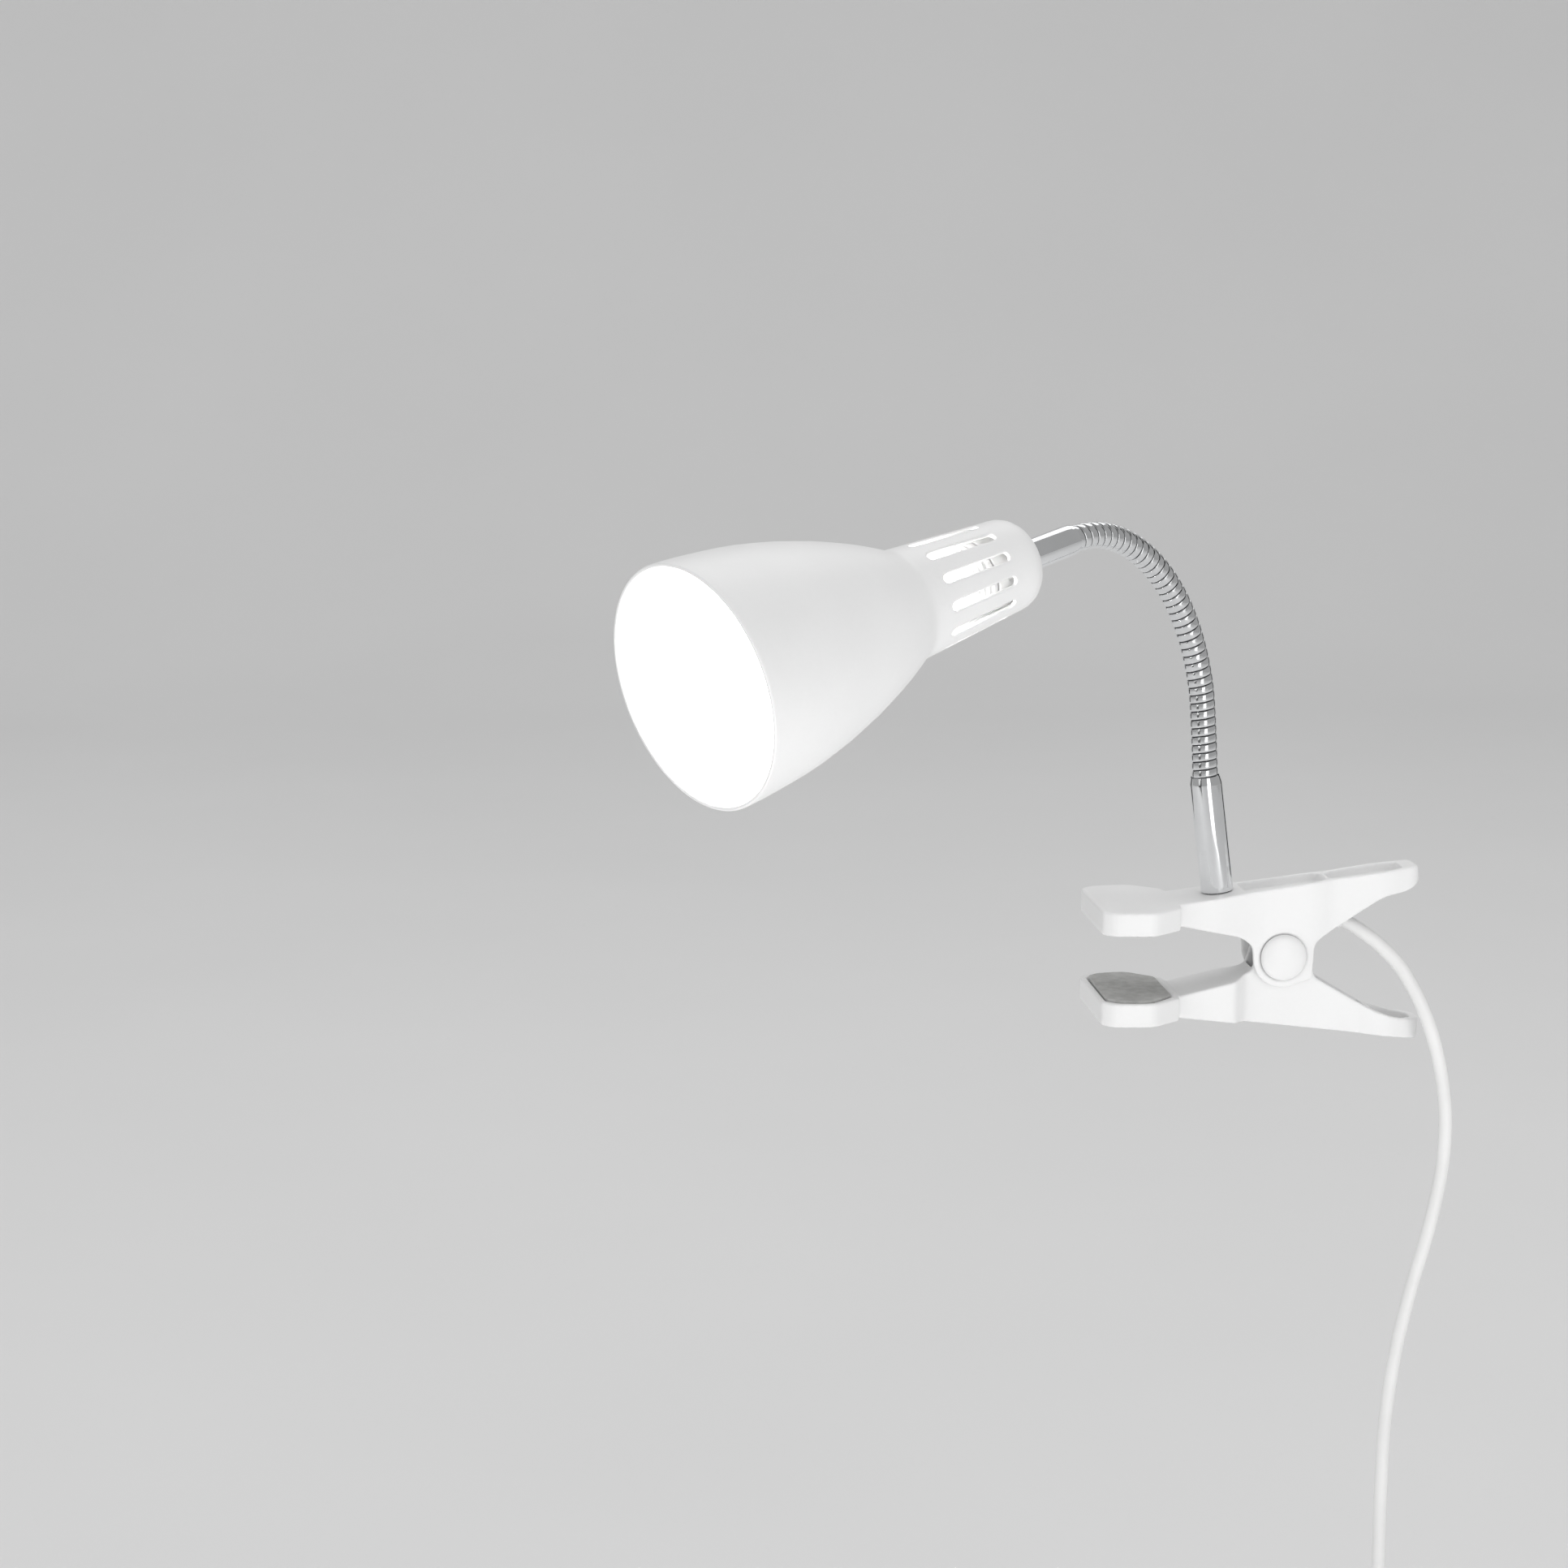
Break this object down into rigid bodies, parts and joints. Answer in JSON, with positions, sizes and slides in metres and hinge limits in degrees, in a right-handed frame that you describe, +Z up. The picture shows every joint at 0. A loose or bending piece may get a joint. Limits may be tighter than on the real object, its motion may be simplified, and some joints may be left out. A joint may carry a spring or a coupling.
{
  "type": "clip-on reading lamp",
  "caption": "Spring clip that grips a table edge, with a chrome stem, a bending gooseneck and a bell-shaped slotted shade holding a small lit bulb, on a mains cord.",
  "frame": {"origin": "centre of the upper jaw's soft liner, on the face that rests on the table top", "axes": "+Z up out of the table top; +X from the jaws towards the clip's handles; -Y is the side that the shade is swung to"},
  "size_m": [0.2933, 0.1904, 0.4802],
  "materials": {
    "white": "smooth moulded plastic, semi-gloss",
    "shade": "smooth moulded plastic, satin",
    "liner": "soft matt liner",
    "chrome": "bright plated steel",
    "steel": "plain bright steel",
    "brass": "plain brass",
    "holder": "matt moulded plastic",
    "glass": "frosted glass, lit",
    "black": "black glazed insulator",
    "cord": "smooth round flexible sheath",
    "brown": "insulated lead",
    "blue": "insulated lead"
  },
  "bodies": {
    "clip": {"upper_jaw": "white", "upper_jaw_liner": "liner", "pivot_pin": "steel", "pivot_cap_near": "white", "pivot_cap_far": "white", "clip_spring": "steel", "stem_tube": "chrome", "stem_nipple": "steel", "stem_washer": "steel", "stem_nut": "steel", "gooseneck_foot": "chrome", "cord_grip": "white", "cord_grip_screw_1": "steel", "cord_grip_screw_2": "steel", "cord_sleeve": "white", "cord_inner": "cord", "cord_to_switch": "cord", "cord_to_coil": "cord", "cord_coil": "cord", "coil_tie": "white", "cord_to_plug": "cord", "switch_front": "white", "switch_back": "white", "switch_screw_1": "steel", "switch_screw_2": "steel", "plug_body": "white", "plug_pin_1": "steel", "plug_pin_2": "steel"},
    "lower_jaw": {"lower_jaw": "white", "lower_jaw_liner": "liner"},
    "neck_01": {"gooseneck_01": "chrome"},
    "neck_02": {"gooseneck_02": "chrome"},
    "neck_03": {"gooseneck_03": "chrome"},
    "neck_04": {"gooseneck_04": "chrome"},
    "neck_05": {"gooseneck_05": "chrome"},
    "neck_06": {"gooseneck_06": "chrome"},
    "neck_07": {"gooseneck_07": "chrome"},
    "neck_08": {"gooseneck_08": "chrome"},
    "neck_09": {"gooseneck_09": "chrome"},
    "neck_10": {"gooseneck_10": "chrome"},
    "head": {"gooseneck_end": "chrome", "head_tube": "chrome", "head_nipple": "steel", "head_washer": "steel", "head_nut": "steel", "shade": "shade", "lampholder_cap": "holder", "lampholder_body": "holder", "screw_shell": "brass", "centre_contact": "brass", "lead_live": "brown", "lead_neutral": "blue"},
    "bulb": {"bulb_glass": "glass", "bulb_cap": "steel", "bulb_insulator": "black", "bulb_contact": "steel"},
    "rocker": {"switch_rocker": "white"}
  },
  "joints": [
    {"name": "clip_open", "type": "hinge", "parent": "clip", "child": "lower_jaw", "pos_m": [0.0515, 0, -0.011], "axis": [0, -1, 0], "range_deg": [-18.5, 20], "stiffness_Nm_per_rad": 0.5, "springref_deg": -68.75, "deforming": ["clip_spring"]},
    {"name": "neck_sway_1", "type": "hinge", "parent": "clip", "child": "neck_01", "pos_m": [0.02434, 0.00086, 0.06615], "axis": [0.856, 0.517, -0.0042], "range_deg": [-8.1, 8.1]},
    {"name": "neck_bend_1", "type": "hinge", "parent": "neck_01", "child": "neck_02", "pos_m": [0.02412, 0.00129, 0.07357], "axis": [0.5162, -0.854, 0.0652], "range_deg": [-7.12, 1.93]},
    {"name": "neck_bend_2", "type": "hinge", "parent": "neck_02", "child": "neck_03", "pos_m": [0.02205, 0.00117, 0.0883], "axis": [0.5162, -0.854, 0.0652], "range_deg": [-9.34, 2.51]},
    {"name": "neck_sway_2", "type": "hinge", "parent": "neck_03", "child": "neck_04", "pos_m": [0.01998, 0.00047, 0.09541], "axis": [0.8102, 0.5115, 0.2862], "range_deg": [-8.1, 8.1]},
    {"name": "neck_bend_3", "type": "hinge", "parent": "neck_04", "child": "neck_05", "pos_m": [0.01792, -0.00024, 0.10252], "axis": [0.5162, -0.854, 0.0652], "range_deg": [-10.69, 2.86]},
    {"name": "neck_bend_4", "type": "hinge", "parent": "neck_05", "child": "neck_06", "pos_m": [0.01156, -0.00308, 0.11567], "axis": [0.5162, -0.854, 0.0652], "range_deg": [-13.38, 3.56]},
    {"name": "neck_sway_3", "type": "hinge", "parent": "neck_06", "child": "neck_07", "pos_m": [0.00716, -0.00532, 0.12122], "axis": [0.6188, 0.4245, 0.661], "range_deg": [-8.1, 8.1]},
    {"name": "neck_bend_5", "type": "hinge", "parent": "neck_07", "child": "neck_08", "pos_m": [0.00275, -0.00755, 0.12679], "axis": [0.5162, -0.854, 0.0652], "range_deg": [-16.84, 4.47]},
    {"name": "neck_bend_6", "type": "hinge", "parent": "neck_08", "child": "neck_09", "pos_m": [-0.00841, -0.01371, 0.13445], "axis": [0.5162, -0.854, 0.0652], "range_deg": [-19.35, 5.12]},
    {"name": "neck_sway", "type": "hinge", "parent": "neck_09", "child": "neck_10", "pos_m": [-0.0147, -0.01741, 0.13588], "axis": [0.1315, 0.1542, 0.9792], "range_deg": [-8, 8]},
    {"name": "neck_bend", "type": "hinge", "parent": "neck_10", "child": "head", "pos_m": [-0.021, -0.0211, 0.13731], "axis": [0.5162, -0.854, 0.0652], "range_deg": [-23, 6]},
    {"name": "bulb_out", "type": "slide", "parent": "head", "child": "bulb", "axis": [-0.827, -0.5167, -0.2215], "range_m": [0, 0.07]},
    {"name": "switch_rocker_tip", "type": "hinge", "parent": "clip", "child": "rocker", "pos_m": [0.088, -0.025, -0.27], "axis": [1, 0, 0], "range_deg": [0, 12]}
  ],
  "couplings": [
    {"joint": "neck_sway_1", "follows": "neck_sway", "ratio": 1},
    {"joint": "neck_bend_1", "follows": "neck_bend", "ratio": 0.3054},
    {"joint": "neck_bend_2", "follows": "neck_bend", "ratio": 0.4017},
    {"joint": "neck_sway_2", "follows": "neck_sway", "ratio": 1},
    {"joint": "neck_bend_3", "follows": "neck_bend", "ratio": 0.4603},
    {"joint": "neck_bend_4", "follows": "neck_bend", "ratio": 0.5774},
    {"joint": "neck_sway_3", "follows": "neck_sway", "ratio": 1},
    {"joint": "neck_bend_5", "follows": "neck_bend", "ratio": 0.728},
    {"joint": "neck_bend_6", "follows": "neck_bend", "ratio": 0.8368}
  ]
}
